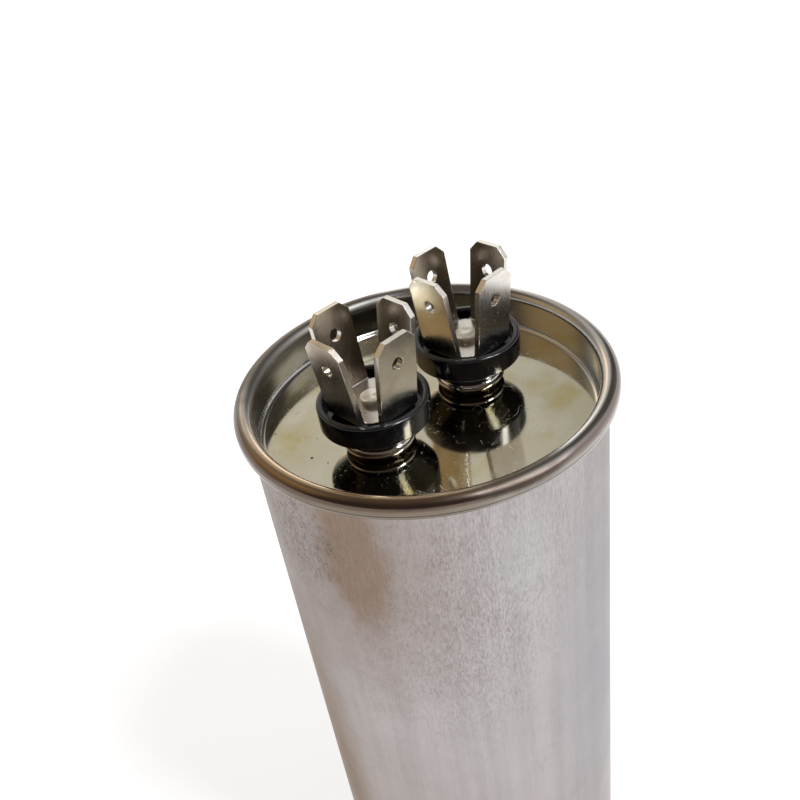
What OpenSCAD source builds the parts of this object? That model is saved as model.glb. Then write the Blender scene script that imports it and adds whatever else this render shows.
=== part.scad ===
// Motor run capacitor: a drawn can with a double-seamed lid and two insulated terminals.
// Millimetres, +Z up. The origin is the middle of the can's underside, the terminals lie along X.

/* [Can] */
// Outside diameter of the can's wall
can_d = 50; // [46:0.5:60]
// Height from the underside to the top of the seam
can_h = 110; // [80:1:140]
// Thickness of the can's wall
can_wall = 0.5; // [0.4:0.05:0.7]
// Thickness of the can's floor
can_floor = 1.0; // [0.8:0.1:2]
// Outside radius where the wall meets the floor
can_corner_r = 1.6; // [1.2:0.1:3]
// How much the wall steps in where it enters the seam
shoulder_in = 0.12; // [0.08:0.01:0.3]
// Height of the sloping shoulder below the seam
shoulder_h = 0.8; // [0.5:0.1:1.5]

/* [Lid] */
// Thickness of the lid's sheet
lid_sheet = 0.5; // [0.4:0.05:0.6]
// Depth of the lid's panel below the top of the seam
lid_depth = 5.9; // [5:0.1:8]
// Inside radius between the panel and the lid's wall
lid_corner_r = 0.8; // [0.4:0.1:1.5]
// Height of the rolled seam
seam_h = 2.6; // [2.5:0.1:4]
// Gap between neighbouring layers of the seam
seam_gap = 0.04; // [0.02:0.01:0.06]

/* [Necks] */
// Distance between the two terminals
terminal_pitch = 18.2; // [16:0.1:19]
// Bore of the drawn neck that holds a bushing
neck_bore_d = 7.1; // [6.6:0.1:7.4]
// Wall of the neck above and below its bead
neck_wall = 0.45; // [0.35:0.05:0.6]
// Radius of the rolled bead round the neck
neck_bead_r = 0.95; // [0.7:0.05:1.05]
// Radius of the fillet between panel and neck
neck_fillet_r = 0.3; // [0.2:0.05:0.5]

/* [Insulators] */
// Diameter of the dished flange
flange_d = 15.1; // [14:0.05:15.5]
// Height of the flange's side
flange_h = 3.3; // [2.8:0.1:4]
// Depth of the dish in the flange
dish_depth = 1.6; // [1:0.1:2]
// Width of the lip round the dish
lip_w = 0.95; // [0.7:0.05:1.1]
// Radius on the edges of the lip and flange
lip_edge_r = 0.3; // [0.1:0.05:0.35]
// Diameter of the hub that sits on the neck
hub_d = 9.8; // [9.4:0.1:11]
// Height of the straight part of the hub
hub_h = 0.3; // [0.2:0.1:1]
// Height of the taper from hub to flange
taper_h = 2.05; // [1.5:0.05:3]
// Gap round the spigot and the rivets
slip_gap = 0.06; // [0.03:0.01:0.1]

/* [Terminals] */
// Width of each blade
blade_w = 6.3; // [5.8:0.1:6.4]
// Thickness of the terminal's sheet
blade_t = 0.8; // [0.6:0.05:0.9]
// Height of the blade tips above the seat of the terminal
blade_h = 12.7; // [10:0.1:16]
// Outward lean of each blade in degrees
blade_lean = 7.2; // [0:0.2:9]
// Gap between the corners of the bends and the wall of the dish
dish_gap = 0.5; // [0.3:0.05:0.7]
// Cut across each corner of the base
base_corner_cut = 0.55; // [0.1:0.05:0.8]
// Inside radius of the bends
bend_r = 0.5; // [0.3:0.05:0.6]
// Width of the slanted corner at a blade's tip
tip_cut_w = 1.25; // [0.6:0.05:1.8]
// Height of the slanted corner at a blade's tip
tip_cut_h = 1.35; // [0.6:0.05:2]
// Diameter of the detent hole in a blade
detent_d = 1.8; // [1.4:0.1:2.2]
// Distance of the detent hole below the tip
detent_drop = 3.85; // [3:0.05:5]

/* [Rivets] */
// Diameter of the rivet's shank
shank_d = 2.4; // [2.2:0.1:3]
// Diameter of the rivet's head
head_d = 3.5; // [3.3:0.1:4.6]
// Height of the rivet's head
head_h = 0.8; // [0.6:0.05:1.2]
// Radius round the top of the head
head_edge_r = 0.3; // [0.2:0.05:0.5]
// Diameter of the clenched lower end
clench_d = 3.8; // [3.4:0.1:5]
// Height of the clenched lower end
clench_h = 0.9; // [0.6:0.1:1.4]

/* [Seals and lugs] */
// Outside diameter of the gasket under the lid
gasket_d = 13; // [12:0.1:14]
// Thickness of the gasket
gasket_t = 1.0; // [0.8:0.1:1.5]
// Outside diameter of the insulating washer
washer_d = 13.6; // [12:0.1:14.4]
// Thickness of the insulating washer
washer_t = 1.0; // [0.8:0.1:1.5]
// Thickness of the lead lug
lug_t = 0.5; // [0.4:0.05:0.8]
// Diameter of the lug's ring
lug_d = 6.4; // [6:0.1:7]
// Width of the lug's tail
lug_tail_w = 3.2; // [2.8:0.1:4]
// Reach of the lug's tail from the rivet
lug_reach = 7.4; // [7:0.1:7.6]

/* [Winding] */
// Room between the cover disc and the lid
head_room = 12; // [9:0.5:20]
// Wall of the insulating liner cup
liner_wall = 0.8; // [0.5:0.1:1.2]
// Floor of the liner cup
liner_floor = 1.6; // [1.2:0.1:2.5]
// Gap round the liner cup and round the winding
liner_gap = 0.3; // [0.2:0.05:0.5]
// Outside diameter of the winding's core tube
core_d = 8; // [7:0.1:10]
// Wall of the core tube
core_wall = 0.8; // [0.6:0.1:1]
// Gap between the core tube and what surrounds it
core_gap = 0.05; // [0.03:0.01:0.1]
// Thickness of the sprayed contact faces
spray_t = 0.5; // [0.3:0.1:0.8]
// Thickness of the cover disc
cover_t = 1.5; // [1:0.1:2]

/* [Leads] */
// Width of the strip leads
lead_w = 3; // [2:0.1:3.4]
// Thickness of the strip leads
lead_t = 0.4; // [0.2:0.05:0.5]
// Inside radius of the bends in the leads
lead_bend_r = 0.6; // [0.4:0.1:0.8]
// Length of the foot that is joined to a contact face or a lug
lead_foot = 3.2; // [2.6:0.1:3.4]
// Gap round a lead where it passes through a cover or lies in a groove
lead_gap = 0.3; // [0.2:0.05:0.5]

/* [Hidden] */

// Sides of a full circle, and degrees between the points of an arc in an outline
$fn = 128;
arc_step = 7.5;
// Overshoot of a cut past the face it opens
cut = 1;

// Radii of the can and of the layers of the seam, from inside to outside
can_r = can_d / 2;
can_bore_r = can_r - can_wall;
bore_corner_r = can_corner_r - can_wall;
shoulder_r = can_r - shoulder_in;
lid_wall_r = shoulder_r - can_wall - seam_gap;
lid_hook_r = shoulder_r + seam_gap;
can_hook_r = lid_hook_r + lid_sheet + seam_gap;
lid_skirt_r = can_hook_r + can_wall + seam_gap;
seam_r = lid_skirt_r + lid_sheet;

// The seam's upper roll, shared by lid and can, and the lower curl of the lid
roll_r = (shoulder_r + can_hook_r) / 2;
roll_outer = seam_r - roll_r;
roll_z = can_h - roll_outer;
curl_r = (lid_hook_r + seam_r) / 2;
curl_outer = seam_r - curl_r;
seam_z = can_h - seam_h;
curl_z = seam_z + curl_outer;
shoulder_z = seam_z - shoulder_h;
hook_clear = 2 * seam_gap;

// Levels above the lid
lid_z = can_h - lid_depth;
lid_under_z = lid_z - lid_sheet;
neck_h = neck_fillet_r + 2 * neck_bead_r;
hub_z = lid_z + neck_h;
taper_z = hub_z + hub_h;
flange_z = taper_z + taper_h;
lip_z = flange_z + flange_h;
seat_z = lip_z - dish_depth;
base_z = seat_z + blade_t;
tip_z = seat_z + blade_h;
detent_z = tip_z - detent_drop;

// Levels below the lid
gasket_z = lid_under_z - gasket_t;
washer_z = gasket_z - washer_t;
lug_z = washer_z - lug_t;
clench_z = lug_z - clench_h;

// Levels and radii of the winding
liner_r = can_bore_r - liner_gap;
winding_r = liner_r - liner_wall - liner_gap;
core_r = core_d / 2;
spray_low_z = can_floor + liner_floor;
winding_z = spray_low_z + spray_t;
cover_z = lid_under_z - head_room - cover_t;
spray_high_z = cover_z - spray_t;

// Radii round a terminal
terminal_x = terminal_pitch / 2;
neck_bore_r = neck_bore_d / 2;
neck_r = neck_bore_r + neck_wall;
spigot_r = neck_bore_r - slip_gap;
flange_r = flange_d / 2;
dish_r = flange_r - lip_w;
rivet_hole_r = shank_d / 2 + slip_gap;

// Half the side of the terminal's flat base, up to where the bends start, so that the blades clear the dish
base_half = sqrt(pow(dish_r - dish_gap, 2) - pow(blade_w / 2, 2)) - bend_r - blade_t;

// Plan positions of the leads' upright runs, the right lead's lower foot and the groove that takes it
lead_out_x = -terminal_x - lug_reach;
lead_in_x = -lead_t / 2;
lead_in_foot = core_r + lead_foot;
groove_w = lead_w + 2 * lead_gap;

// Points of an arc, from angle a to angle b
function arc(x, y, r, a, b) = let (steps = ceil(abs(b - a) / arc_step)) [
    for (i = [0 : steps]) let (t = a + (b - a) * i / steps) [x + r * cos(t), y + r * sin(t)]
];

// Section of the can: corner, wall, shoulder and the hook that the seam rolls over
function can_section() = concat(
    [[0, 0]],
    arc(can_r - can_corner_r, can_corner_r, can_corner_r, -90, 0),
    [[can_r, shoulder_z], [shoulder_r, seam_z]],
    arc(roll_r, roll_z, roll_r - shoulder_r, 180, 0),
    [[can_hook_r, curl_z + hook_clear], [can_hook_r + can_wall, curl_z + hook_clear]],
    arc(roll_r, roll_z, can_hook_r + can_wall - roll_r, 0, 180),
    [[shoulder_r - can_wall, seam_z], [can_bore_r, shoulder_z]],
    arc(can_bore_r - bore_corner_r, can_floor + bore_corner_r, bore_corner_r, 0, -90),
    [[0, can_floor]]
);

// Section of the lid: panel, wall, upper roll, skirt, lower curl and hook
function lid_section() = concat(
    [[0, lid_z]],
    arc(lid_wall_r - lid_sheet - lid_corner_r, lid_z + lid_corner_r, lid_corner_r, -90, 0),
    arc(roll_r, roll_z, roll_outer, 180, 0),
    arc(curl_r, curl_z, curl_outer, 0, -180),
    [[lid_hook_r, roll_z - hook_clear], [lid_hook_r + lid_sheet, roll_z - hook_clear]],
    arc(curl_r, curl_z, curl_outer - lid_sheet, -180, 0),
    arc(roll_r, roll_z, roll_outer - lid_sheet, 0, 180),
    arc(lid_wall_r - lid_sheet - lid_corner_r, lid_z + lid_corner_r, lid_corner_r + lid_sheet, 0, -90),
    [[0, lid_under_z]]
);

// Section of a neck before it is bored: fillet and rolled bead
function neck_section() = concat(
    [[0, -lid_sheet], [neck_r + neck_fillet_r, -lid_sheet]],
    arc(neck_r + neck_fillet_r, neck_fillet_r, neck_fillet_r, -90, -180),
    arc(neck_r, neck_fillet_r + neck_bead_r, neck_bead_r, -90, 90),
    [[0, neck_h]]
);

// Angle at which the taper under the flange runs into the rounding of the flange's lower edge
function taper_end() = let (
    run = flange_r - lip_edge_r - hub_d / 2,
    rise = taper_h + lip_edge_r
) atan2(rise, run) - asin(lip_edge_r / norm([run, rise])) - 90;

// Section of an insulator: spigot, hub, taper, flange and dish
function insulator_section() = concat(
    [[rivet_hole_r, gasket_z], [spigot_r, gasket_z], [spigot_r, hub_z], [hub_d / 2, hub_z]],
    [[hub_d / 2, taper_z]],
    arc(flange_r - lip_edge_r, flange_z + lip_edge_r, lip_edge_r, taper_end(), 0),
    arc(flange_r - lip_edge_r, lip_z - lip_edge_r, lip_edge_r, 0, 90),
    arc(dish_r + lip_edge_r, lip_z - lip_edge_r, lip_edge_r, 90, 180),
    [[dish_r, seat_z], [rivet_hole_r, seat_z]]
);

// Distance of a blade's face from the terminal's axis at height z, for the bend radius r of that face
function face_x(r, z) =
    base_half + r * cos(blade_lean) + (z - base_z - bend_r + r * sin(blade_lean)) * tan(blade_lean);

// Side outline of a blade: a tongue of the base, the bend and the leaning strip, left long at the tip
function blade_side() = let (pivot_z = base_z + bend_r, end_z = tip_z + cut) concat(
    [[base_half - blade_t, seat_z]],
    arc(base_half, pivot_z, bend_r + blade_t, -90, -blade_lean),
    [[face_x(bend_r + blade_t, end_z), end_z], [face_x(bend_r, end_z), end_z]],
    arc(base_half, pivot_z, bend_r, -blade_lean, -90),
    [[base_half - blade_t, base_z]]
);

// Front outline of a blade, with its slanted tip corners
function blade_front() = let (half = blade_w / 2) [
    [-half, seat_z - cut], [half, seat_z - cut], [half, tip_z - tip_cut_h], [half - tip_cut_w, tip_z],
    [-half + tip_cut_w, tip_z], [-half, tip_z - tip_cut_h]
];

// Outline of a strip lead bent into a bracket: an upright at x = 0 with a foot to the right at each end
function lead_side(low, high, low_foot, high_foot) = concat(
    [[low_foot, low], [low_foot, low + lead_t]],
    arc(lead_t + lead_bend_r, low + lead_t + lead_bend_r, lead_bend_r, -90, -180),
    arc(lead_t + lead_bend_r, high - lead_t - lead_bend_r, lead_bend_r, 180, 90),
    [[high_foot, high - lead_t], [high_foot, high]],
    arc(lead_t + lead_bend_r, high - lead_t - lead_bend_r, lead_bend_r + lead_t, 90, 180),
    arc(lead_t + lead_bend_r, low + lead_t + lead_bend_r, lead_bend_r + lead_t, 180, 270)
);

// Flat ring from height z, t thick
module ring(outer_r, inner_r, z, t) {
    translate([0, 0, z])
    difference() {
        cylinder(r = outer_r, h = t);
        translate([0, 0, -cut])
        cylinder(r = inner_r, h = t + 2 * cut);
    }
}

// Places its children on the axis of one terminal: -1 is left, 1 is right
module at_terminal(side) {
    translate([side * terminal_x, 0, 0])
    children();
}

module can() {
    color("#c0bab8")
    rotate_extrude()
    polygon(can_section());
}

module lid() {
    color("#b4ad92")
    difference() {
        union() {
            rotate_extrude()
            polygon(lid_section());
            for (side = [-1, 1])
                at_terminal(side)
                translate([0, 0, lid_z])
                rotate_extrude()
                polygon(neck_section());
        }
        for (side = [-1, 1])
            at_terminal(side)
            translate([0, 0, lid_under_z - cut])
            cylinder(r = neck_bore_r, h = neck_h + lid_sheet + 2 * cut);
    }
}

module insulator(side) {
    color("#17171b")
    at_terminal(side)
    rotate_extrude()
    polygon(insulator_section());
}

module blade() {
    reach = base_half + blade_h;
    difference() {
        intersection() {
            rotate([90, 0, 0])
            linear_extrude(height = blade_w, center = true)
            polygon(blade_side());
            rotate([90, 0, 90])
            linear_extrude(height = reach)
            polygon(blade_front());
        }
        translate([face_x(bend_r + blade_t, detent_z), 0, detent_z])
        rotate([0, 90 + blade_lean, 0])
        cylinder(d = detent_d, h = 4 * blade_t, center = true);
    }
}

module terminal(side) {
    color("#bdb7ac")
    at_terminal(side)
    difference() {
        union() {
            translate([0, 0, seat_z])
            linear_extrude(height = blade_t)
            polygon([
                for (k = [0 : 3], end = [-1, 1])
                    let (along = end * (base_half - base_corner_cut), a = 90 * k)
                    [base_half * cos(a) - along * sin(a), base_half * sin(a) + along * cos(a)]
            ]);
            for (k = [0 : 3])
                rotate(90 * k)
                blade();
        }
        translate([0, 0, seat_z - cut])
        cylinder(r = rivet_hole_r, h = blade_t + 2 * cut);
    }
}

// Rivet: head on the terminal's base, shank through the bushing, end clenched under the lug
module rivet(side) {
    head_r = head_d / 2;
    head_top = base_z + head_h;
    color("#a5a199")
    at_terminal(side)
    rotate_extrude()
    polygon(concat(
        [[0, clench_z], [clench_d / 2, clench_z], [clench_d / 2, lug_z], [shank_d / 2, lug_z]],
        [[shank_d / 2, base_z], [head_r, base_z]],
        arc(head_r - head_edge_r, head_top - head_edge_r, head_edge_r, 0, 90),
        [[0, head_top]]
    ));
}

module gasket(side) {
    color("#2c2a28")
    at_terminal(side)
    ring(gasket_d / 2, neck_bore_r, gasket_z, gasket_t);
}

module washer(side) {
    color("#8a5a34")
    at_terminal(side)
    ring(washer_d / 2, rivet_hole_r, washer_z, washer_t);
}

// Lug: both tails point to the left, out to the wall side or in to the core
module lug(side) {
    color("#c9b98f")
    at_terminal(side)
    difference() {
        translate([0, 0, lug_z])
        linear_extrude(height = lug_t)
        union() {
            circle(d = lug_d);
            translate([-lug_reach, -lug_tail_w / 2])
            square([lug_reach, lug_tail_w]);
        }
        translate([0, 0, lug_z - cut])
        cylinder(r = rivet_hole_r, h = lug_t + 2 * cut);
    }
}

module lead(x, low, high, low_foot, high_foot) {
    color("#cfc7b4")
    translate([x, 0, 0])
    rotate([90, 0, 0])
    linear_extrude(height = lead_w, center = true)
    polygon(lead_side(low, high, low_foot, high_foot));
}

// Left lead: from the top contact face up to the left lug
module lead_left() {
    lead(lead_out_x, cover_z, lug_z, lead_foot, lead_foot);
}

// Right lead: from the bottom contact face up through the core to the right lug
module lead_right() {
    lead(lead_in_x, spray_low_z - lead_t, lug_z, lead_in_foot, terminal_x - lug_reach - lead_in_x + lead_foot);
}

module winding() {
    color("#d8d4cc")
    ring(winding_r, core_r + core_gap, winding_z, spray_high_z - winding_z);
}

module core() {
    color("#e6dfcf")
    ring(core_r, core_r - core_wall, spray_low_z, cover_z - spray_low_z);
}

module end_spray(z) {
    color("#8f9196")
    ring(winding_r, core_r + core_gap, z, spray_t);
}

// Liner cup, with a groove in its floor for the foot of the right lead
module liner_cup() {
    color("#e9e7df")
    difference() {
        rotate_extrude()
        polygon(concat(
            [[0, can_floor]],
            arc(liner_r - bore_corner_r, can_floor + bore_corner_r, bore_corner_r, -90, 0),
            [[liner_r, cover_z + cover_t], [liner_r - liner_wall, cover_z + cover_t]],
            [[liner_r - liner_wall, spray_low_z], [0, spray_low_z]]
        ));
        translate([lead_in_x - lead_gap, -groove_w / 2, spray_low_z - lead_t])
        cube([lead_in_foot + 2 * lead_gap, groove_w, lead_t + cut]);
    }
}

// Cover disc, open over the core and over the foot of the upper lead
module cover_disc() {
    color("#ded9cb")
    difference() {
        ring(winding_r, core_r, cover_z, cover_t);
        translate([lead_out_x - lead_gap, -groove_w / 2, cover_z - cut])
        cube([lead_foot + 2 * lead_gap, groove_w, cover_t + 2 * cut]);
    }
}

can();
lid();
insulator(-1);  // insulator_left
insulator(1);  // insulator_right
terminal(-1);  // terminal_left
terminal(1);  // terminal_right
rivet(-1);  // rivet_left
rivet(1);  // rivet_right
gasket(-1);  // gasket_left
gasket(1);  // gasket_right
washer(-1);  // washer_left
washer(1);  // washer_right
lug(-1);  // lug_left
lug(1);  // lug_right
lead_left();
lead_right();
winding();
core();
end_spray(spray_high_z);  // end_spray_top
end_spray(spray_low_z);  // end_spray_bottom
liner_cup();
cover_disc();
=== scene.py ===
import math

import bmesh
import bpy
from mathutils import Matrix, Vector

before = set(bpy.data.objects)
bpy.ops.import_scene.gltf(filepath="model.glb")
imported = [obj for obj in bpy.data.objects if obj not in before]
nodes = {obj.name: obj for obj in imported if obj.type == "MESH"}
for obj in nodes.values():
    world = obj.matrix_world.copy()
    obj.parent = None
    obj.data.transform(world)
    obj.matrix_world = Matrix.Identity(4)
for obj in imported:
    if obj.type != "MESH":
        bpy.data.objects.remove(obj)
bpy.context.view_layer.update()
scene = bpy.context.scene
scene.view_settings.view_transform = "Standard"
mm = 0.001
print("frame loaded:", len(nodes), "solids")


# small helpers for node trees

def addNode(tree, kind, inputs=None, **settings):
    # an input given as a socket is linked, any other becomes the input's own value
    node = tree.nodes.new(kind)
    for key, value in settings.items():
        setattr(node, key, value)
    for key, value in (inputs or {}).items():
        if isinstance(value, bpy.types.NodeSocket):
            tree.links.new(value, node.inputs[key])
        else:
            node.inputs[key].default_value = value
    return node


def doMath(tree, operation, first, second=0.0):
    return addNode(tree, "ShaderNodeMath", {0: first, 1: second}, operation=operation).outputs[0]


def doVector(tree, operation, first, second=(0, 0, 0)):
    return addNode(tree, "ShaderNodeVectorMath", {0: first, 1: second}, operation=operation).outputs[0]


def lengthOf(tree, vector):
    return addNode(tree, "ShaderNodeVectorMath", {0: vector}, operation="LENGTH").outputs["Value"]


def times(tree, first, second):
    return doMath(tree, "MULTIPLY", first, second)


def plus(tree, first, second):
    return doMath(tree, "ADD", first, second)


def weighted(tree, *pairs):
    # the sum of some masks, each times its share
    total = None
    for mask, share in pairs:
        part = times(tree, mask, share)
        total = part if total is None else plus(tree, total, part)
    return total


def mostOf(tree, masks):
    # the strongest of some masks
    most = masks[0]
    for mask in masks[1:]:
        most = doMath(tree, "MAXIMUM", most, mask)
    return most


def ramp(tree, value, span, to=(0.0, 1.0), kind="SMOOTHSTEP"):
    inputs = {"Value": value, "From Min": span[0], "From Max": span[1], "To Min": to[0], "To Max": to[1]}
    return addNode(tree, "ShaderNodeMapRange", inputs, interpolation_type=kind).outputs["Result"]


def opaque(colour):
    return colour if isinstance(colour, bpy.types.NodeSocket) else (*colour, 1)


def mixColour(tree, share, first, second, blend="MIX"):
    # the mix node's colours are its inputs 6 and 7 and its output 2
    inputs = {0: share, 6: opaque(first), 7: opaque(second)}
    node = addNode(tree, "ShaderNodeMix", inputs, data_type="RGBA", blend_type=blend, clamp_factor=True)
    return node.outputs[2]


def newGroup(name, output, **inputs):
    group = bpy.data.node_groups.new(name, "ShaderNodeTree")
    for key, value in inputs.items():
        kind = "NodeSocketVector" if isinstance(value, tuple) else "NodeSocketFloat"
        group.interface.new_socket(key, in_out="INPUT", socket_type=kind).default_value = value
    group.interface.new_socket(output, in_out="OUTPUT", socket_type="NodeSocketFloat")
    given, result = group.nodes.new("NodeGroupInput"), group.nodes.new("NodeGroupOutput")
    return group, given.outputs, result.inputs[output]


def useGroup(tree, group, **inputs):
    return addNode(tree, "ShaderNodeGroup", inputs, node_tree=group).outputs[0]


def inMillimetres(tree):
    place = addNode(tree, "ShaderNodeTexCoord").outputs["Object"]
    return doVector(tree, "MULTIPLY", place, (1 / mm, 1 / mm, 1 / mm))


def splitVector(tree, vector):
    return addNode(tree, "ShaderNodeSeparateXYZ", {0: vector}).outputs


def splitNormal(tree):
    return splitVector(tree, addNode(tree, "ShaderNodeNewGeometry").outputs["Normal"])


def radiusOf(tree, parts):
    # distance from the can's axis
    squares = [doMath(tree, "POWER", part, 2.0) for part in (parts[0], parts[1])]
    return doMath(tree, "SQRT", plus(tree, *squares))


def noiseOf(tree, vector, scale, detail=3.0, rough=0.55, distortion=0.0):
    return addNode(tree, "ShaderNodeTexNoise", {
        "Vector": vector, "Scale": scale, "Detail": detail, "Roughness": rough, "Distortion": distortion,
    }).outputs["Fac"]


# shared effects, each one a node group, with lengths in millimetres

def buildStreaks():
    # marks of the drawing tool, long in Z and narrow round the can
    group, given, out = newGroup("drawnStreaks", "Streaks", Width=0.3, Length=9.0)
    parts = splitVector(group, inMillimetres(group))
    stretched = addNode(group, "ShaderNodeCombineXYZ", {
        "X": doMath(group, "DIVIDE", parts[0], given["Width"]),
        "Y": doMath(group, "DIVIDE", parts[1], given["Width"]),
        "Z": doMath(group, "DIVIDE", parts[2], given["Length"]),
    }).outputs[0]
    group.links.new(noiseOf(group, stretched, 1.0, detail=4.0, rough=0.6), out)
    return group


pitShape = {"wobbleScale": 2.2, "wobbleDetail": 2.0, "wobble": 0.5, "sizes": (0.5, 1.2), "core": 0.55}


def buildPits():
    # small separate marks, Share says how many of the cells hold one
    group, given, out = newGroup("pitMarks", "Pits", Spacing=1.0, Size=0.2, Share=0.3)
    place = inMillimetres(group)
    wobble = addNode(group, "ShaderNodeTexNoise", {
        "Vector": place, "Scale": pitShape["wobbleScale"], "Detail": pitShape["wobbleDetail"],
    }).outputs["Color"]
    wobble = doVector(group, "MULTIPLY", wobble, (pitShape["wobble"],) * 3)
    scale = doMath(group, "DIVIDE", 1.0, given["Spacing"])
    cells = addNode(group, "ShaderNodeTexVoronoi", {
        "Vector": doVector(group, "ADD", place, wobble), "Scale": scale}, feature="F1").outputs
    chance = addNode(group, "ShaderNodeSeparateColor", {0: cells["Color"]}).outputs
    reach = times(group, given["Size"], ramp(group, chance[1], (0.0, 1.0), pitShape["sizes"], "LINEAR"))
    core = times(group, reach, pitShape["core"])
    spot = ramp(group, cells["Distance"], (core, reach), to=(1.0, 0.0))
    kept = doMath(group, "LESS_THAN", chance[0], given["Share"])
    group.links.new(times(group, spot, kept), out)
    return group


hairShape = {
    "distortion": 0.5, "level": 0.5, "windowShift": (31.0, 17.0, 5.0), "windowScale": 1.2,
    "windowEdge": (0.8, 0.3), "windowFade": 0.05,
}


def buildHairs():
    # thin curved marks such as lint and wiping leave: short pieces of the level lines of a noise
    group, given, out = newGroup("hairMarks", "Hairs", Spacing=2.0, Width=0.01, Share=0.4)
    place = inMillimetres(group)
    scale = doMath(group, "DIVIDE", 1.0, given["Spacing"])
    field = noiseOf(group, place, scale, detail=0.0, rough=0.5, distortion=hairShape["distortion"])
    level = doMath(group, "ABSOLUTE", doMath(group, "SUBTRACT", field, hairShape["level"]))
    line = ramp(group, level, (0.0, given["Width"]), to=(1.0, 0.0))
    moved = doVector(group, "ADD", place, hairShape["windowShift"])
    window = noiseOf(group, moved, times(group, scale, hairShape["windowScale"]), detail=1.0)
    edge = ramp(group, given["Share"], (0.0, 1.0), hairShape["windowEdge"], "LINEAR")
    kept = ramp(group, window, (edge, plus(group, edge, hairShape["windowFade"])))
    group.links.new(times(group, line, kept), out)
    return group


wormShape = {"squash": (1.0, 1.0, 0.45), "detail": 2.5, "rough": 0.6, "distortion": 0.9, "cut": (0.46, 0.64)}


def buildWorms():
    # short crooked marks that run together, taller than wide
    group, given, out = newGroup("wormMarks", "Worms", Size=0.6)
    place = doVector(group, "MULTIPLY", inMillimetres(group), wormShape["squash"])
    scale = doMath(group, "DIVIDE", 1.0, given["Size"])
    field = noiseOf(group, place, scale, wormShape["detail"], wormShape["rough"], wormShape["distortion"])
    group.links.new(ramp(group, field, wormShape["cut"]), out)
    return group


def buildBlotches():
    # soft clouds, cut out of a noise between Low and High
    group, given, out = newGroup("softBlotches", "Blotches", Size=6.0, Low=0.45, High=0.65)
    field = noiseOf(group, inMillimetres(group), doMath(group, "DIVIDE", 1.0, given["Size"]), rough=0.5)
    group.links.new(ramp(group, field, (given["Low"], given["High"])), out)
    return group


patchShape = {"edgeScale": 0.35, "edgeDetail": 4.0, "edgeMiddle": 0.5}


def buildPatch():
    # one soft, slightly ragged patch round Centre
    group, given, out = newGroup(
        "patchMask", "Patch", Centre=(0, 0, 0), Reach=(1, 1, 1), Soft=0.5, Ragged=0.3)
    place = inMillimetres(group)
    away = doVector(group, "DIVIDE", doVector(group, "SUBTRACT", place, given["Centre"]), given["Reach"])
    size = lengthOf(group, away)
    edge = noiseOf(group, place, patchShape["edgeScale"], patchShape["edgeDetail"])
    edge = doMath(group, "SUBTRACT", edge, patchShape["edgeMiddle"])
    size = plus(group, size, times(group, edge, given["Ragged"]))
    full = doMath(group, "SUBTRACT", 1.0, given["Soft"])
    group.links.new(ramp(group, size, (full, 1.0), to=(1.0, 0.0)), out)
    return group


ringShape = {"driftScale": 0.08, "driftDetail": 2.0, "drift": 6.0}


def buildRings():
    # marks of the seaming rollers and the lathe: fine across, endless round the axis
    group, given, out = newGroup("rolledRings", "Rings", Pitch=0.3)
    place = inMillimetres(group)
    parts = splitVector(group, place)
    slow = noiseOf(group, place, ringShape["driftScale"], ringShape["driftDetail"])
    across = addNode(group, "ShaderNodeCombineXYZ", {
        "X": doMath(group, "DIVIDE", radiusOf(group, parts), given["Pitch"]),
        "Y": doMath(group, "DIVIDE", parts[2], given["Pitch"]),
        "Z": times(group, slow, ringShape["drift"]),
    }).outputs[0]
    group.links.new(noiseOf(group, across, 1.0, rough=0.6), out)
    return group


dustShape = {
    "facing": (0.2, 1.0), "grainScale": 4.5, "grainDetail": 4.0, "grainRough": 0.7, "grainCut": (0.6, 0.75),
    "filmScale": 0.5, "filmCut": (0.35, 0.75), "film": (0.1, 0.5),
}


def buildDust():
    # fine specks and a thin film on faces that look up
    shape = dustShape
    group, given, out = newGroup("settledDust", "Dust", Amount=0.5)
    place = inMillimetres(group)
    up = ramp(group, splitNormal(group)[2], shape["facing"])
    grains = noiseOf(group, place, shape["grainScale"], shape["grainDetail"], shape["grainRough"])
    grains = ramp(group, grains, shape["grainCut"])
    film = ramp(group, noiseOf(group, place, shape["filmScale"]), shape["filmCut"], shape["film"])
    both = times(group, up, plus(group, grains, film))
    group.links.new(times(group, both, given["Amount"]), out)
    return group


streaks, pits, hairs, wormMarks = buildStreaks(), buildPits(), buildHairs(), buildWorms()
blotches, patch, rings, dust = buildBlotches(), buildPatch(), buildRings(), buildDust()
print("shared effects built:", len(bpy.data.node_groups))


def newMaterial(name, **constants):
    material = bpy.data.materials.new(name)
    material.use_nodes = True
    shader = material.node_tree.nodes["Principled BSDF"]
    for key, value in constants.items():
        shader.inputs[key].default_value = value
    return material, material.node_tree, shader


def setBump(tree, shader, height, strength, distance):
    bump = addNode(tree, "ShaderNodeBump", {
        "Strength": strength, "Distance": distance * mm, "Height": height})
    tree.links.new(bump.outputs["Normal"], shader.inputs["Normal"])


def dress(material, *names):
    for name in names:
        data = nodes[name].data
        data.materials.clear()
        data.materials.append(material)


# rounder shading and broken edges, without touching the solids' own points

softening = {
    "joinWithin": 0.002, "smoothBelow": 0.5,  # mm, radians
    "flatBelow": 0.4, "breakAbove": 38, "segments": 3,  # angles in degrees
    # width of the broken edge in mm, by the first word of the piece's name
    "edges": {"terminal": 0.055, "rivet": 0.05, "lug": 0.06, "lead": 0.05},
}


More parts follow.
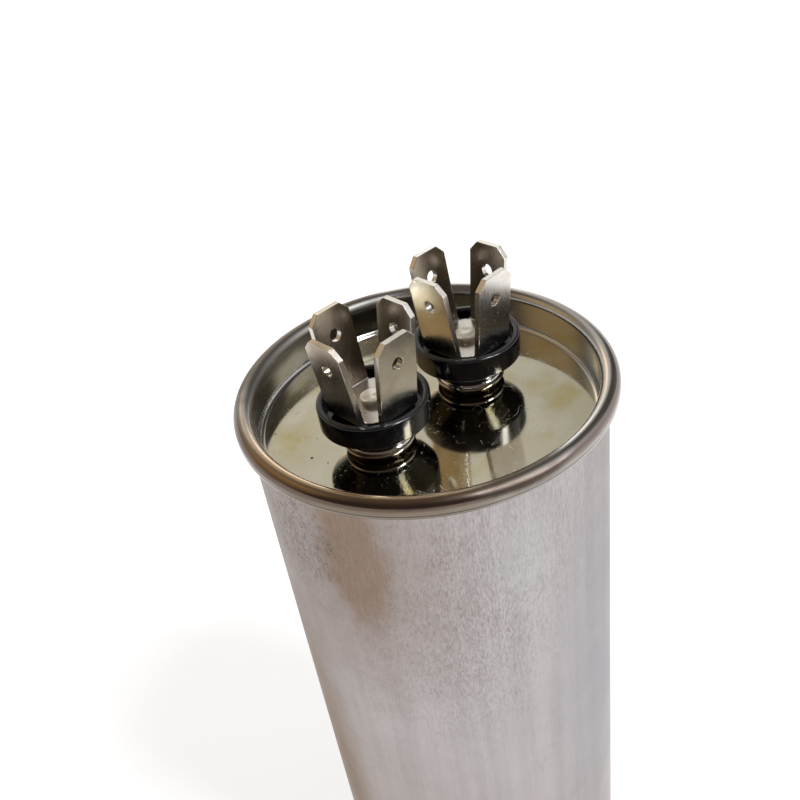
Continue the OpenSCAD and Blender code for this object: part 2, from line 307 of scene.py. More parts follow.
def buildSoftener():
    # joins the solids' split faces and shades them smooth up to the given angle
    group = bpy.data.node_groups.new("smoothFaces", "GeometryNodeTree")
    group.interface.new_socket("Geometry", in_out="INPUT", socket_type="NodeSocketGeometry")
    limit = group.interface.new_socket("Angle", in_out="INPUT", socket_type="NodeSocketFloat")
    limit.default_value = softening["smoothBelow"]
    group.interface.new_socket("Geometry", in_out="OUTPUT", socket_type="NodeSocketGeometry")
    given = group.nodes.new("NodeGroupInput").outputs
    bare = addNode(group, "GeometryNodeRemoveAttribute", {
        "Geometry": given["Geometry"], "Name": "custom_normal"})
    joined = addNode(group, "GeometryNodeMergeByDistance", {
        "Geometry": bare.outputs[0], "Distance": softening["joinWithin"] * mm})
    smooth = addNode(group, "GeometryNodeSetShadeSmooth", {
        "Geometry": joined.outputs[0], "Shade Smooth": True})
    angle = addNode(group, "GeometryNodeInputMeshEdgeAngle").outputs["Unsigned Angle"]
    sharp = addNode(group, "FunctionNodeCompare", {0: angle, 1: given["Angle"]}, operation="GREATER_THAN")
    edges = addNode(group, "GeometryNodeSetShadeSmooth", {
        "Geometry": smooth.outputs[0], "Selection": sharp.outputs[0], "Shade Smooth": False}, domain="EDGE")
    group.links.new(edges.outputs[0], group.nodes.new("NodeGroupOutput").inputs["Geometry"])
    return group


softener = buildSoftener()


def soften(name):
    node = nodes[name]
    node.modifiers.new("smoothFaces", "NODES").node_group = softener
    edge = softening["edges"].get(name.split("_")[0])
    if edge:
        flat = node.modifiers.new("joinFlats", "DECIMATE")
        flat.decimate_type = "DISSOLVE"
        flat.angle_limit = math.radians(softening["flatBelow"])
        bevel = node.modifiers.new("brokenEdge", "BEVEL")
        bevel.width = edge * mm
        bevel.segments = softening["segments"]
        bevel.limit_method = "ANGLE"
        bevel.angle_limit = math.radians(softening["breakAbove"])
        bevel.use_clamp_overlap = True
        node.modifiers.new("smoothAgain", "NODES").node_group = softener


for name in nodes:
    soften(name)
print("solids softened")


# can: drawn aluminium, satin, with handling marks

canFinish = {
    "pale": (0.398, 0.371, 0.368), "dark": (0.300, 0.272, 0.268), "pit": (0.13, 0.11, 0.10),
    "brown": (0.210, 0.150, 0.108), "paintedBandBrown": (0.210, 0.142, 0.090), "cool": (0.318, 0.329, 0.357),
    "green": (0.385, 0.394, 0.37), "shade": (0.270, 0.228, 0.210), "glance": (0.74, 0.70, 0.67),
    "roughness": (0.32, 0.37), "anisotropy": 0.25,
    # painted reflections, brown patches standing in for things beside the can that it would mirror: colour,
    # centre, reach (mm), softness, raggedness, depth of the streaks in it
    "paintedReflections": [
        ("brown", (-23.4, -8.6, 98.5), (6.4, 6.4, 16.5), 0.55, 0.5, 0.35),
        ("paintedBandBrown", (-24.0, 7.0, 36.0), (10.5, 10.5, 60.0), 0.85, 0.25, 0.2),
    ],
    "reflectionStreakCut": (0.3, 0.7),
    # painted reflection and shade: tinted stretches, shade on the left, a cool cast on the right and a green
    # cast at the front top, stand in for the surroundings the can mirrors: colour, centre, reach (mm),
    # strength
    "paintedTints": [
        ("shade", (-23.5, -8.5, 97.0), (21.0, 21.0, 38.0), 0.95),
        ("cool", (10.0, -22.5, 62.0), (19.0, 19.0, 62.0), 0.85),
        ("green", (-8.0, -23.7, 96.0), (7.0, 7.0, 14.0), 0.5),
        ("shade", (-24.0, -6.5, 40.0), (17.0, 17.0, 40.0), 0.3),
    ],
    "tintEdge": {"Soft": 0.9, "Ragged": 0.4},
    # the upper wall, where the drawn streaks are stronger: heights (mm) and strengths
    "highWall": (74.0, 100.0), "highStrength": (0.3, 1.0),
    # where the surface is crazed and where it is dotted
    "crazed": {"Centre": (-17.5, -18.0, 88.0), "Reach": (24.0, 24.0, 34.0), "Soft": 0.95, "Ragged": 0.7},
    "dotted": {"Centre": (-25.0, 0.0, 98.5), "Reach": (9.0, 9.0, 14.0), "Soft": 0.6, "Ragged": 1.0},
    # the marks, with the cuts that sharpen them
    "fine": {"Width": 0.26, "Length": 3.4}, "fineCut": (0.38, 0.7),
    "broad": {"Width": 3.2, "Length": 60.0}, "broadCut": (0.32, 0.68), "broadTone": (0.0, 0.5),
    "dash": {"Width": 0.2, "Length": 1.0}, "dashCut": (0.3, 0.7), "dashTone": (-1.0, 1.0),
    "clouds": {"Size": 9.0, "Low": 0.3, "High": 0.7}, "elsewhere": {"Size": 8.0, "Low": 0.5, "High": 0.72},
    "wormSize": 0.4, "crookedSize": 0.55, "crookedCut": (0.3, 0.8), "crookedStrength": (0.0, 0.4),
    "dots": {"Spacing": 0.66, "Size": 0.32, "Share": 0.7},
    "nicks": {"Spacing": 6.0, "Width": 0.006, "Share": 0.42},
    # how much each mark counts: by place, in the tone, as wear, in the roughness and in the height
    "wormsCrazed": 0.85, "wormsElsewhere": 0.4, "dotsDotted": 1.0, "dotsElsewhere": 0.25,
    "dashesCrazed": 0.6, "dashesHigh": 0.5, "drawnTone": 0.42, "cloudTone": 0.12,
    "wormWear": 0.34, "dotWear": 0.8, "wornRough": 0.2,
    "drawnRise": 0.6, "wornRise": -2.2, "nickRise": -0.5, "bump": (0.5, 0.05),
}


def makeCanMetal():
    look = canFinish
    material, tree, shader = newMaterial("canMetal", **{
        "Metallic": 1.0, "Anisotropic": look["anisotropy"], "Specular Tint": opaque(look["glance"])})
    high = ramp(tree, splitVector(tree, inMillimetres(tree))[2], look["highWall"], look["highStrength"])
    fine = useGroup(tree, streaks, **look["fine"])
    broad = useGroup(tree, streaks, **look["broad"])
    dash = useGroup(tree, streaks, **look["dash"])
    cloudy = useGroup(tree, blotches, **look["clouds"])
    crazed = useGroup(tree, patch, **look["crazed"])
    dotted = useGroup(tree, patch, **look["dotted"])
    elsewhere = useGroup(tree, blotches, **look["elsewhere"])
    worms = useGroup(tree, wormMarks, Size=look["wormSize"])
    worms = times(tree, worms, weighted(
        tree, (crazed, look["wormsCrazed"]), (elsewhere, look["wormsElsewhere"])))
    crooked = useGroup(tree, wormMarks, Size=look["crookedSize"])
    crooked = ramp(tree, crooked, look["crookedCut"], look["crookedStrength"])
    dots = mostOf(tree, [useGroup(tree, pits, **look["dots"]), crooked])
    dots = times(tree, dots, weighted(
        tree, (dotted, look["dotsDotted"]), (elsewhere, look["dotsElsewhere"])))
    nicks = useGroup(tree, hairs, **look["nicks"])
    drawn = times(tree, ramp(tree, fine, look["fineCut"]), high)
    dashes = ramp(tree, dash, look["dashCut"], look["dashTone"], "LINEAR")
    dashes = times(tree, dashes, weighted(tree, (crazed, look["dashesCrazed"]), (high, look["dashesHigh"])))
    tone = weighted(tree, (drawn, look["drawnTone"]), (cloudy, look["cloudTone"]))
    tone = plus(tree, tone, plus(tree, ramp(tree, broad, look["broadCut"], look["broadTone"]), dashes))
    colour = mixColour(tree, tone, look["pale"], look["dark"])
    # painted reflection and shade laid over the metal's tone
    for tint, centre, reach, strength in look["paintedTints"]:
        mask = useGroup(tree, patch, Centre=centre, Reach=reach, **look["tintEdge"])
        colour = mixColour(tree, times(tree, mask, strength), colour, look[tint])
    # painted reflection: a brown patch high on the left and a brown band low on the left, streaked along the
    # drawing marks
    for reflectionTone, centre, reach, softness, raggedness, depth in look["paintedReflections"]:
        mask = useGroup(tree, patch, Centre=centre, Reach=reach, Soft=softness, Ragged=raggedness)
        mask = times(tree, mask, ramp(tree, fine, look["reflectionStreakCut"], to=(1.0 - depth, 1.0)))
        colour = mixColour(tree, mask, colour, look[reflectionTone])
    worn = mostOf(tree, [times(tree, worms, look["wormWear"]), times(tree, dots, look["dotWear"])])
    colour = mixColour(tree, worn, colour, look["pit"])
    tree.links.new(colour, shader.inputs["Base Color"])
    rough = ramp(tree, cloudy, (0.0, 1.0), look["roughness"])
    tree.links.new(plus(tree, rough, times(tree, worn, look["wornRough"])), shader.inputs["Roughness"])
    height = weighted(tree, (drawn, look["drawnRise"]), (worn, look["wornRise"]), (nicks, look["nickRise"]))
    setBump(tree, shader, height, *look["bump"])
    tangent = addNode(tree, "ShaderNodeTangent", direction_type="RADIAL", axis="Z")
    tree.links.new(tangent.outputs[0], shader.inputs["Tangent"])
    return material


dress(makeCanMetal(), "can")


# lid: bright tinplate with a warm cast, rolled seam, necks

lidFinish = {
    "pale": (0.58, 0.53, 0.40), "olive": (0.50, 0.42, 0.20), "haze": (0.66, 0.64, 0.57),
    "lint": (0.74, 0.72, 0.67), "speck": (0.03, 0.026, 0.02),
    "neck": (0.58, 0.55, 0.515), "paintedBeadShade": (0.05, 0.044, 0.036),
    # the skirt's colours and its dark line are painted reflection
    "seamTop": (0.46, 0.43, 0.40), "seamIn": (0.44, 0.43, 0.41), "skirtHigh": (0.25, 0.205, 0.185),
    "skirtLow": (0.30, 0.285, 0.255), "skirtLine": (0.06, 0.05, 0.042),
    "paintedGoldTop": (0.85, 0.66, 0.45), "paintedBrownSkirt": (0.62, 0.54, 0.47), "rimDimming": (0.42, 0.40, 0.37),
    # distances from the axis (mm) where the seam begins and the necks end
    "seamRadius": (22.6, 23.6), "neckRadius": (16.0, 18.0),
    # how far a face of the seam has to look outward or inward to count as its outer or inner side
    "outerSide": (0.2, 0.8), "innerSide": (-0.2, -0.8), "innerCalm": (0.0, 0.6),
    # heights (mm): fade of the skirt, its painted dark line, start of the rougher roll, top of the panel,
    # lower half of the necks' beads, which is painted as shade
    "skirtHeight": (108.5, 109.25), "lineHeight": 108.22, "rollHeight": (108.7, 109.3),
    "panelHeight": (104.15, 104.3), "beadShadeHeight": (105.1, 105.42),
    # patches: centre and reach (mm)
    # painted reflection at the front left of the seam: gold on the roll, darker brown on the skirt
    "paintedWarmSeam": ((-24.0, -9.0, 108.5), (28.0, 28.0, 12.0)),
    # painted shade: darker, rougher spots on the rim that dim its reflections
    "dimmedRimSpots": [
        ((8.5, 22.7, 109.6), (6.0, 6.0, 1.8)),
        ((-7.8, -24.6, 109.7), (8.5, 8.5, 1.5)),
        ((-7.5, 23.2, 109.3), (20.0, 20.0, 2.8)),
    ],
    "stains": [((-16.8, 10.4, 104.1), (5.0, 4.0, 2.0)), ((13.4, -13.4, 104.1), (4.6, 3.4, 2.0))],
    "specks": [
        ((-17.15, 5.16, 104.1), (0.22, 0.22, 0.22)),
        ((-16.52, 2.54, 104.1), (0.13, 0.13, 0.13)),
        ((-13.9, 7.9, 104.1), (0.11, 0.11, 0.11)),
    ],
    "wornEdge": {"Soft": 0.6, "Ragged": 0.3}, "stainEdge": {"Soft": 0.8, "Ragged": 1.2},
    "speckEdge": {"Soft": 0.3, "Ragged": 0.8},
    # the marks
    "stainClouds": {"Size": 7.5, "Low": 0.45, "High": 0.7},
    "hazeClouds": {"Size": 4.5, "Low": 0.42, "High": 0.72},
    "longLint": {"Spacing": 2.2, "Width": 0.012, "Share": 0.5},
    "shortLint": {"Spacing": 1.2, "Width": 0.018, "Share": 0.36},
    "grit": {"Spacing": 1.6, "Size": 0.06, "Share": 0.08}, "waves": {"Size": 5.0, "Low": 0.2, "High": 0.8},
    "ringPitch": 0.35, "ringCut": (0.4, 0.75), "ringDark": (0.0, 0.35),
    "lineReach": (0.04, 0.13), "lineDark": (0.7, 0.0),
    # how much each mark counts in the colour
    "cloudStain": 0.7, "stainShare": 0.9, "hazeShare": 0.45, "lintShare": 0.5,
    # roughness of the panel and of the seam, and what the marks add to it
    "roughness": 0.07, "lintRough": 0.42, "hazeRough": 0.05, "speckRough": 0.5,
    "ringRoughCut": (0.3, 0.7), "seamRoughness": (0.066, 0.165), "calmRings": (1.0, 0.2),
    "innerRough": 0.07, "rollRough": (0.0, 0.09), "dimmedRimRough": 0.22,
    # relief
    "ringRise": (0.25, 0.02), "waveRise": 0.35, "lintRise": 0.06, "bump": (0.12, 0.05),
}


def seamMasks(tree):
    # the rolled seam, its outer and inner sides, the necks, and the height on the part
    place, normal = splitVector(tree, inMillimetres(tree)), splitNormal(tree)
    radius = radiusOf(tree, place)
    along = plus(tree, times(tree, place[0], normal[0]), times(tree, place[1], normal[1]))
    outward = doMath(tree, "DIVIDE", along, radius)
    seam = ramp(tree, radius, lidFinish["seamRadius"])
    outside, inside = (ramp(tree, outward, lidFinish[side]) for side in ("outerSide", "innerSide"))
    necks = ramp(tree, radius, lidFinish["neckRadius"], to=(1.0, 0.0))
    return seam, outside, inside, necks, place[2]


def patchesOf(tree, places, edge):
    return [useGroup(tree, patch, Centre=centre, Reach=reach, **edge) for centre, reach in places]


def makeLidMetal():
    look = lidFinish
    material, tree, shader = newMaterial("lidMetal", **{"Metallic": 1.0})
    seam, outside, inside, necks, height = seamMasks(tree)
    onPanel = ramp(tree, height, look["panelHeight"], to=(1.0, 0.0))
    turned = useGroup(tree, rings, Pitch=look["ringPitch"])
    hazy = useGroup(tree, blotches, **look["hazeClouds"])
    stain = times(tree, useGroup(tree, blotches, **look["stainClouds"]), look["cloudStain"])
    stain = mostOf(tree, [stain, *patchesOf(tree, look["stains"], look["stainEdge"])])
    lint = [useGroup(tree, hairs, **look[size]) for size in ("longLint", "shortLint")]
    lint = times(tree, mostOf(tree, [*lint, useGroup(tree, pits, **look["grit"])]), onPanel)
    dimmedRim = mostOf(tree, patchesOf(tree, look["dimmedRimSpots"], look["wornEdge"]))
    dirt = mostOf(tree, patchesOf(tree, look["specks"], look["speckEdge"]))
    paintedWarmSeam, = patchesOf(tree, [look["paintedWarmSeam"]], look["wornEdge"])

    # panel and necks
    colour = mixColour(tree, times(tree, stain, look["stainShare"]), look["pale"], look["olive"])
    colour = mixColour(tree, times(tree, hazy, look["hazeShare"]), colour, look["haze"])
    colour = mixColour(tree, times(tree, lint, look["lintShare"]), colour, look["lint"])
    # painted shade: the lower half of the necks' beads is dark, standing in for the black surroundings it
    # would mirror
    beadShadeMask = times(tree, ramp(tree, height, look["beadShadeHeight"], to=(1.0, 0.0)), necks)
    colour = mixColour(tree, onPanel, mixColour(tree, beadShadeMask, look["neck"], look["paintedBeadShade"]), colour)

    # seam
    # painted reflection: the outer skirt is darker, lighter low down, with a dark line, standing in for the
    # dark surroundings it would mirror; the ring lines are roller marks
    skirt = mixColour(tree, ramp(tree, height, look["skirtHeight"]), look["skirtLow"], look["skirtHigh"])
    fromLine = doMath(tree, "ABSOLUTE", doMath(tree, "SUBTRACT", height, look["lineHeight"]))
    line = mostOf(tree, [ramp(tree, turned, look["ringCut"], look["ringDark"]),
                         ramp(tree, fromLine, look["lineReach"], look["lineDark"])])
    skirt = mixColour(tree, line, skirt, look["skirtLine"])
    # painted reflection: darker brown skirt at the front left
    skirt = mixColour(tree, paintedWarmSeam, skirt, look["paintedBrownSkirt"], "MULTIPLY")
    rolled = mixColour(tree, inside, look["seamTop"], look["seamIn"])
    # painted highlight: gold roll at the front left
    rolled = mixColour(tree, paintedWarmSeam, rolled, look["paintedGoldTop"], "MULTIPLY")
    rolled = mixColour(tree, outside, rolled, skirt)
    # painted shade on the rim's dimmed spots
    rolled = mixColour(tree, dimmedRim, rolled, look["rimDimming"], "MULTIPLY")
    colour = mixColour(tree, seam, colour, rolled)
    tree.links.new(mixColour(tree, dirt, colour, look["speck"]), shader.inputs["Base Color"])

    flat = weighted(tree, (lint, look["lintRough"]), (hazy, look["hazeRough"]))
    flat = plus(tree, flat, look["roughness"])
    steady = times(tree, turned, ramp(tree, inside, look["innerCalm"], look["calmRings"]))
    rolledRough = ramp(tree, steady, look["ringRoughCut"], look["seamRoughness"])
    rolledRough = plus(tree, rolledRough, ramp(tree, height, look["rollHeight"], look["rollRough"]))
    rolledRough = plus(tree, rolledRough, weighted(
        tree, (inside, look["innerRough"]), (dimmedRim, look["dimmedRimRough"])))
    rough = weighted(tree, (flat, doMath(tree, "SUBTRACT", 1.0, seam)), (rolledRough, seam))
    tree.links.new(plus(tree, rough, times(tree, dirt, look["speckRough"])), shader.inputs["Roughness"])

    waves = times(tree, useGroup(tree, blotches, **look["waves"]), onPanel)
    marks = times(tree, times(tree, turned, seam), ramp(tree, inside, look["innerCalm"], look["ringRise"]))
    relief = weighted(tree, (waves, look["waveRise"]), (lint, look["lintRise"]))
    setBump(tree, shader, plus(tree, relief, marks), *look["bump"])
    return material


dress(makeLidMetal(), "lid")


# insulators: glossy black moulding with a little dust and wiping marks

insulatorFinish = {
    "black": (0.0035, 0.0035, 0.0045), "dust": (0.10, 0.095, 0.09), "roughness": 0.125,
    "constants": {"IOR": 1.5, "Specular IOR Level": 0.5}, "dustAmount": 0.07, "dustRough": 0.35,
    "wipes": {"Spacing": 1.6, "Width": 0.018, "Share": 0.4}, "wipeRough": 0.25,
    "waves": {"Size": 1.4, "Low": 0.2, "High": 0.8}, "bump": (0.06, 0.03),
}


def makeInsulatorPlastic():
    look = insulatorFinish
    material, tree, shader = newMaterial("insulatorPlastic", **look["constants"])
    powder = useGroup(tree, dust, Amount=look["dustAmount"])
    wipes = useGroup(tree, hairs, **look["wipes"])
    tree.links.new(mixColour(tree, powder, look["black"], look["dust"]), shader.inputs["Base Color"])
    rough = weighted(tree, (powder, look["dustRough"]), (wipes, look["wipeRough"]))
    tree.links.new(plus(tree, rough, look["roughness"]), shader.inputs["Roughness"])
    setBump(tree, shader, useGroup(tree, blotches, **look["waves"]), *look["bump"])
    return material


dress(makeInsulatorPlastic(), "insulator_left", "insulator_right")


# terminals and rivets: nickel plate over stamped sheet

leftCorners = nodes["terminal_left"].bound_box
terminalFinish = {
    "pale": (0.66, 0.625, 0.575), "dark": (0.50, 0.455, 0.40), "spot": (0.10, 0.085, 0.07),
    "paintedInnerShade": (0.46, 0.41, 0.345), "film": (0.50, 0.435, 0.35), "roughness": 0.19,
    # distance of a terminal's axis from the can's (mm), and how far from it the inner faces lie
    "axis": abs(sum(corner[0] for corner in leftCorners)) / len(leftCorners) / mm,
    "innerFaces": (-3.5, -2.0),
    "shadedBladePlace": {"Centre": (-15.4, 0.0, 121.5), "Reach": (2.2, 5.0, 6.5), "Soft": 0.8, "Ragged": 0.4},
    "clouds": {"Size": 2.4, "Low": 0.38, "High": 0.68}, "cloudShare": 0.5,
    "spots": {"Spacing": 0.55, "Size": 0.16, "Share": 0.16}, "spotShare": 0.7, "spotRough": 0.3,
    "brush": {"Width": 0.12, "Length": 3.0}, "brushCut": (0.3, 0.7), "brushRough": (0.0, 0.08),
    "grain": {"scale": 7.0, "detail": 4.0, "rough": 0.65},
    "grainRise": 0.5, "spotRise": -1.0, "bump": (0.10, 0.03),
}


def innerSides(tree):
    # faces of the blades that look at their own terminal's axis, darkened there as painted shade
    place, facing = splitVector(tree, inMillimetres(tree)), splitNormal(tree)
    axis = times(tree, doMath(tree, "SIGN", place[0]), terminalFinish["axis"])
    fromAxis = doMath(tree, "SUBTRACT", place[0], axis)
    outward = plus(tree, times(tree, fromAxis, facing[0]), times(tree, place[1], facing[1]))
    return ramp(tree, outward, terminalFinish["innerFaces"], to=(1.0, 0.0))


def makeTerminalPlate():
    look = terminalFinish
    material, tree, shader = newMaterial("terminalPlate", **{"Metallic": 1.0})
    cloudy = useGroup(tree, blotches, **look["clouds"])
    spots = useGroup(tree, pits, **look["spots"])
    grain = noiseOf(tree, inMillimetres(tree), **look["grain"])
    brushed = useGroup(tree, streaks, **look["brush"])
    # painted reflection: a darker, browner stretch on the left terminal's blades
    film = useGroup(tree, patch, **look["shadedBladePlace"])
    colour = mixColour(tree, times(tree, cloudy, look["cloudShare"]), look["pale"], look["dark"])
    colour = mixColour(tree, times(tree, spots, look["spotShare"]), colour, look["spot"])
    # painted shade on the blades' inner faces
    colour = mixColour(tree, innerSides(tree), colour, look["paintedInnerShade"], "MULTIPLY")
    colour = mixColour(tree, film, colour, look["film"], "MULTIPLY")
    tree.links.new(colour, shader.inputs["Base Color"])
    rough = plus(tree, ramp(tree, brushed, look["brushCut"], look["brushRough"]), look["roughness"])
    tree.links.new(plus(tree, rough, times(tree, spots, look["spotRough"])), shader.inputs["Roughness"])
    height = weighted(tree, (grain, look["grainRise"]), (spots, look["spotRise"]))
    setBump(tree, shader, height, *look["bump"])
    return material


rivetFinish = {
    "pale": (0.82, 0.79, 0.70), "dark": (0.60, 0.57, 0.49), "roughness": (0.42, 0.57),
    "blows": {"Spacing": 0.8, "Size": 0.75, "Share": 0.8},
    "clouds": {"Size": 0.9, "Low": 0.35, "High": 0.65}, "cloudShare": 0.7, "bump": (0.42, 0.055),
}


def makeRivetPlate():
    look = rivetFinish
    material, tree, shader = newMaterial("rivetPlate", **{"Metallic": 1.0})
    blows = useGroup(tree, pits, **look["blows"])
    cloudy = useGroup(tree, blotches, **look["clouds"])
    colour = mixColour(tree, times(tree, cloudy, look["cloudShare"]), look["pale"], look["dark"])
    tree.links.new(colour, shader.inputs["Base Color"])
    tree.links.new(ramp(tree, cloudy, (0.0, 1.0), look["roughness"]), shader.inputs["Roughness"])
    setBump(tree, shader, plus(tree, blows, cloudy), *look["bump"])
    return material


dress(makeTerminalPlate(), "terminal_left", "terminal_right")
dress(makeRivetPlate(), "rivet_left", "rivet_right")
print("outer finishes done")


# inside pieces: plain finishes, each with its own grain

innerFinish = {
    "gasketRubber": {
        "nodes": ["gasket_left", "gasket_right"], "pale": (0.055, 0.05, 0.046), "dark": (0.03, 0.028, 0.027),
        "metallic": 0.0, "roughness": (0.55, 0.75), "grain": 1.2, "bump": 0.2},
    "washerLaminate": {
        "nodes": ["washer_left", "washer_right"], "pale": (0.38, 0.21, 0.10), "dark": (0.24, 0.12, 0.055),
        "metallic": 0.0, "roughness": (0.45, 0.65), "grain": 0.7, "bump": 0.25},
    "lugBrass": {
        "nodes": ["lug_left", "lug_right"], "pale": (0.72, 0.66, 0.50), "dark": (0.60, 0.48, 0.27),
        "metallic": 1.0, "roughness": (0.25, 0.4), "grain": 1.6, "bump": 0.1},
    "leadStrip": {
        "nodes": ["lead_left", "lead_right"], "pale": (0.76, 0.73, 0.68), "dark": (0.60, 0.55, 0.48),
        "metallic": 1.0, "roughness": (0.25, 0.42), "grain": 2.0, "bump": 0.12},
    "windingFilm": {
        "nodes": ["winding"], "pale": (0.74, 0.72, 0.68), "dark": (0.58, 0.56, 0.53),
        "metallic": 0.35, "roughness": (0.25, 0.4), "grain": 3.0, "bump": 0.15},
    "coreTube": {
        "nodes": ["core"], "pale": (0.80, 0.76, 0.67), "dark": (0.70, 0.65, 0.55),
        "metallic": 0.0, "roughness": (0.4, 0.55), "grain": 2.0, "bump": 0.1},
    "sprayedZinc": {
        "nodes": ["end_spray_top", "end_spray_bottom"],
        "pale": (0.50, 0.51, 0.53), "dark": (0.34, 0.35, 0.37),
        "metallic": 0.9, "roughness": (0.55, 0.8), "grain": 0.35, "bump": 0.7},
    "linerPlastic": {
        "nodes": ["liner_cup", "cover_disc"], "pale": (0.80, 0.78, 0.72), "dark": (0.72, 0.69, 0.61),
        "metallic": 0.0, "roughness": (0.35, 0.5), "grain": 4.0, "bump": 0.08},
}
# marks that all the inside pieces share, with sizes as multiples of the piece's own grain
innerMarks = {
    "cloudSize": 3, "clouds": {"Low": 0.35, "High": 0.68}, "cloudTone": 0.6,
    "grain": {"Low": 0.3, "High": 0.7},
    "ringPitch": 0.4, "ringCut": (0.35, 0.65), "ringTone": (0.0, 0.4), "bumpDepth": 0.05,
}


def makeInnerFinish(name, look):
    marks, size = innerMarks, look["grain"]
    material, tree, shader = newMaterial(name, **{"Metallic": look["metallic"]})
    cloudy = useGroup(tree, blotches, Size=size * marks["cloudSize"], **marks["clouds"])
    grain = useGroup(tree, blotches, Size=size, **marks["grain"])
    layers = useGroup(tree, rings, Pitch=size * marks["ringPitch"])
    tone = times(tree, cloudy, marks["cloudTone"])
    tone = plus(tree, tone, ramp(tree, layers, marks["ringCut"], marks["ringTone"]))
    tree.links.new(mixColour(tree, tone, look["pale"], look["dark"]), shader.inputs["Base Color"])
    tree.links.new(ramp(tree, grain, (0.0, 1.0), look["roughness"]), shader.inputs["Roughness"])
    setBump(tree, shader, plus(tree, grain, layers), look["bump"], marks["bumpDepth"])
    return material


for name, look in innerFinish.items():
    dress(makeInnerFinish(name, look), *look["nodes"])
print("inside finishes done")


# stage: white floor, pale room with dark areas and a warm left, two soft window lights

viewTurn = math.radians(-41.06)  # the picture's left-right axis is turned by this from the terminals' line

roomLook = {
    "pale": (0.74, 0.735, 0.70), "white": (1.0, 1.0, 1.0),
    # soft areas of the room: turn from the picture's right, height, inner and outer reach, all in degrees,
    # and the colour
    "areas": [
        (90, 90, (30, 46), (0.17, 0.15, 0.14)),
        (0, 36, (20, 56), (0.90, 0.90, 0.91)),
        (50, 38, (14, 28), (0.12, 0.115, 0.108)),
        (44, 56, (10, 24), (0.10, 0.096, 0.092)),
        (52, 20, (8, 20), (0.09, 0.086, 0.08)),
        (180, 34, (24, 66), (0.14, 0.12, 0.10)),
        (270, 22, (48, 84), (0.14, 0.112, 0.10)),
        (164, 34, (6, 32), (0.64, 0.485, 0.29)),
        (105, 24, (3, 12), (2.2, 1.75, 1.3)),
        (87, 18, (4, 11), (2.6, 2.6, 2.6)),
    ],
    "whiteBelow": (9, 15),  # heights in degrees between which the white horizon fades into the room
}
# lamps: turn and height in degrees, distance and size in metres, power in watts
lampLook = {
    "window": {"turn": -28, "height": 38, "away": 0.70, "size": (0.13, 0.16), "power": 2.0,
               "colour": (0.93, 0.96, 1.0)},
    "skylight": {"turn": -35, "height": 56, "away": 0.70, "size": (0.12, 0.18), "power": 3.4,
                 "colour": (0.86, 0.92, 1.0)},
}
lampAim = Vector((0, 0, 110)) * mm
# the floor's glow near the object and far from it, the distances (mm) it changes over, its glow in
# reflections, and half its width in metres
floorLook = {
    "colour": (0.55, 0.55, 0.55), "shade": (0.52, 0.52, 0.52), "glow": (0.75, 0.98), "glowReach": (250, 800),
    "reflectedGlow": 0.87, "half": 4.0,
    "paperScale": 0.02, "paperCut": (0.2, 0.8), "paperShare": (0.0, 0.05),
    "constants": {"Roughness": 0.9, "Specular IOR Level": 0.0, "Emission Color": (1, 1, 1, 1)},
}


def towards(turn, height):
    turn, height = math.radians(turn) + viewTurn, math.radians(height)
    return Vector((math.cos(turn) * math.cos(height), math.sin(turn) * math.cos(height), math.sin(height)))


def makeRoom():
    world = bpy.data.worlds.new("paleRoom")
    scene.world = world
    world.use_nodes = True
    tree = world.node_tree
    ray = doVector(tree, "NORMALIZE", addNode(tree, "ShaderNodeTexCoord").outputs["Generated"])
    colour = roomLook["pale"]
    for turn, height, (near, far), tint in roomLook["areas"]:
        middle = towards(turn, height)
        facing = addNode(tree, "ShaderNodeVectorMath", {0: ray, 1: middle}, operation="DOT_PRODUCT")
        edge = (math.cos(math.radians(far)), math.cos(math.radians(near)))
        colour = mixColour(tree, ramp(tree, facing.outputs["Value"], edge), colour, tint)
    horizon = [math.sin(math.radians(angle)) for angle in roomLook["whiteBelow"]]
    colour = mixColour(tree, ramp(tree, splitVector(tree, ray)[2], horizon), roomLook["white"], colour)
    tree.links.new(colour, tree.nodes["Background"].inputs["Color"])


def makeLamp(name, look):
    data = bpy.data.lights.new(name + "Lamp", "AREA")
    data.shape = "RECTANGLE"
    data.size, data.size_y = look["size"]
    data.energy = look["power"]
    data.color = look["colour"]
    lamp = bpy.data.objects.new(name + "Lamp", data)
    scene.collection.objects.link(lamp)
    ray = towards(look["turn"], look["height"])
    lamp.location = lampAim + ray * look["away"]
    lamp.rotation_euler = ray.to_track_quat("Z", "Y").to_euler()


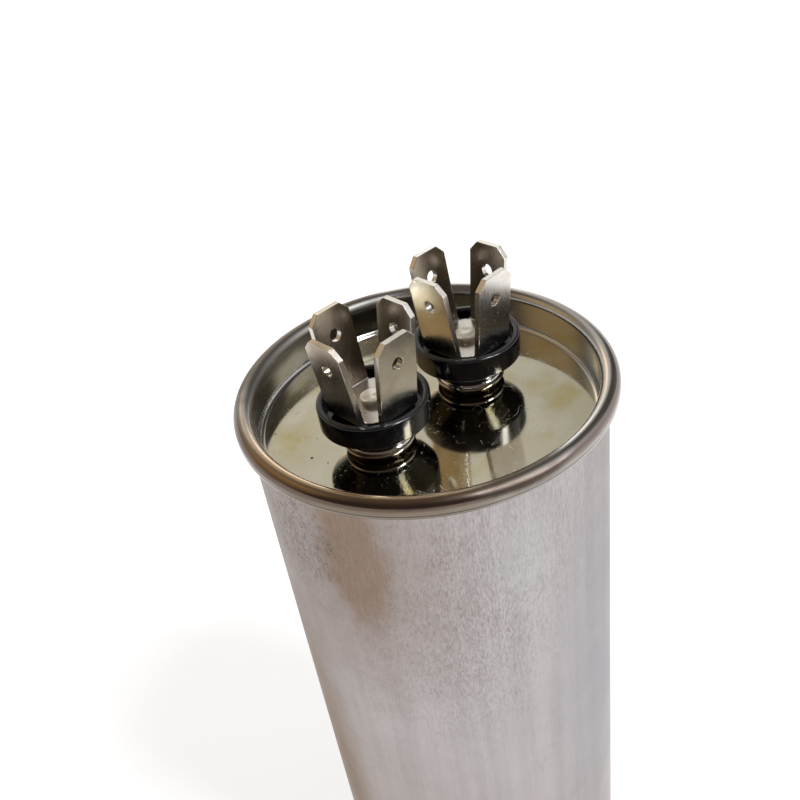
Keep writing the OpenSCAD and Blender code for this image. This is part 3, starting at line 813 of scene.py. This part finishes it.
def makeFloor():
    look, half = floorLook, floorLook["half"]
    corners = ((-half, -half, 0), (half, -half, 0), (half, half, 0), (-half, half, 0))
    shape = bmesh.new()
    shape.faces.new([shape.verts.new(corner) for corner in corners])
    data = bpy.data.meshes.new("floor")
    shape.to_mesh(data)
    shape.free()
    floor = bpy.data.objects.new("floor", data)
    scene.collection.objects.link(floor)
    material, tree, shader = newMaterial("floorPaper", **look["constants"])
    place = inMillimetres(tree)
    paper = ramp(tree, noiseOf(tree, place, look["paperScale"]), look["paperCut"], look["paperShare"])
    tree.links.new(mixColour(tree, paper, look["colour"], look["shade"]), shader.inputs["Base Color"])
    path = addNode(tree, "ShaderNodeLightPath").outputs
    glow = ramp(tree, lengthOf(tree, place), look["glowReach"], look["glow"])
    seen = times(tree, path["Is Camera Ray"], glow)
    mirrored = mostOf(tree, [path["Is Glossy Ray"], path["Is Transmission Ray"]])
    mirrored = times(tree, mirrored, look["reflectedGlow"])
    tree.links.new(mostOf(tree, [seen, mirrored]), shader.inputs["Emission Strength"])
    data.materials.append(material)


makeRoom()
for name, look in lampLook.items():
    makeLamp(name, look)
makeFloor()
print("stage set")


# camera, at the photograph's place: distances in mm, angles in radians

cameraLook = {
    "away": 104.514, "above": 179.773, "turn": -0.0345, "pitch": 0.6126, "roll": -0.164,
    "lens": 41.272, "sensor": 36.0, "nearest": 5.0,
}


def makeCamera():
    look = cameraLook
    turn, pitch, roll = look["turn"], look["pitch"], look["roll"]
    ahead = Vector((math.sin(turn) * math.cos(pitch), math.cos(turn) * math.cos(pitch), -math.sin(pitch)))
    side = Vector((math.cos(turn), -math.sin(turn), 0))
    top = side.cross(ahead)
    right = side * math.cos(roll) + top * math.sin(roll)
    up = top * math.cos(roll) - side * math.sin(roll)
    placed = Matrix((right, up, -ahead)).transposed().to_4x4()
    placed.translation = Vector((0, -look["away"], look["above"])) * mm
    data = bpy.data.cameras.new("camera")
    data.sensor_fit = "HORIZONTAL"
    data.sensor_width = look["sensor"]
    data.lens = look["lens"]
    data.clip_start = look["nearest"] * mm
    camera = bpy.data.objects.new("camera", data)
    scene.collection.objects.link(camera)
    camera.matrix_world = Matrix.Rotation(viewTurn, 4, "Z") @ placed
    scene.camera = camera


makeCamera()
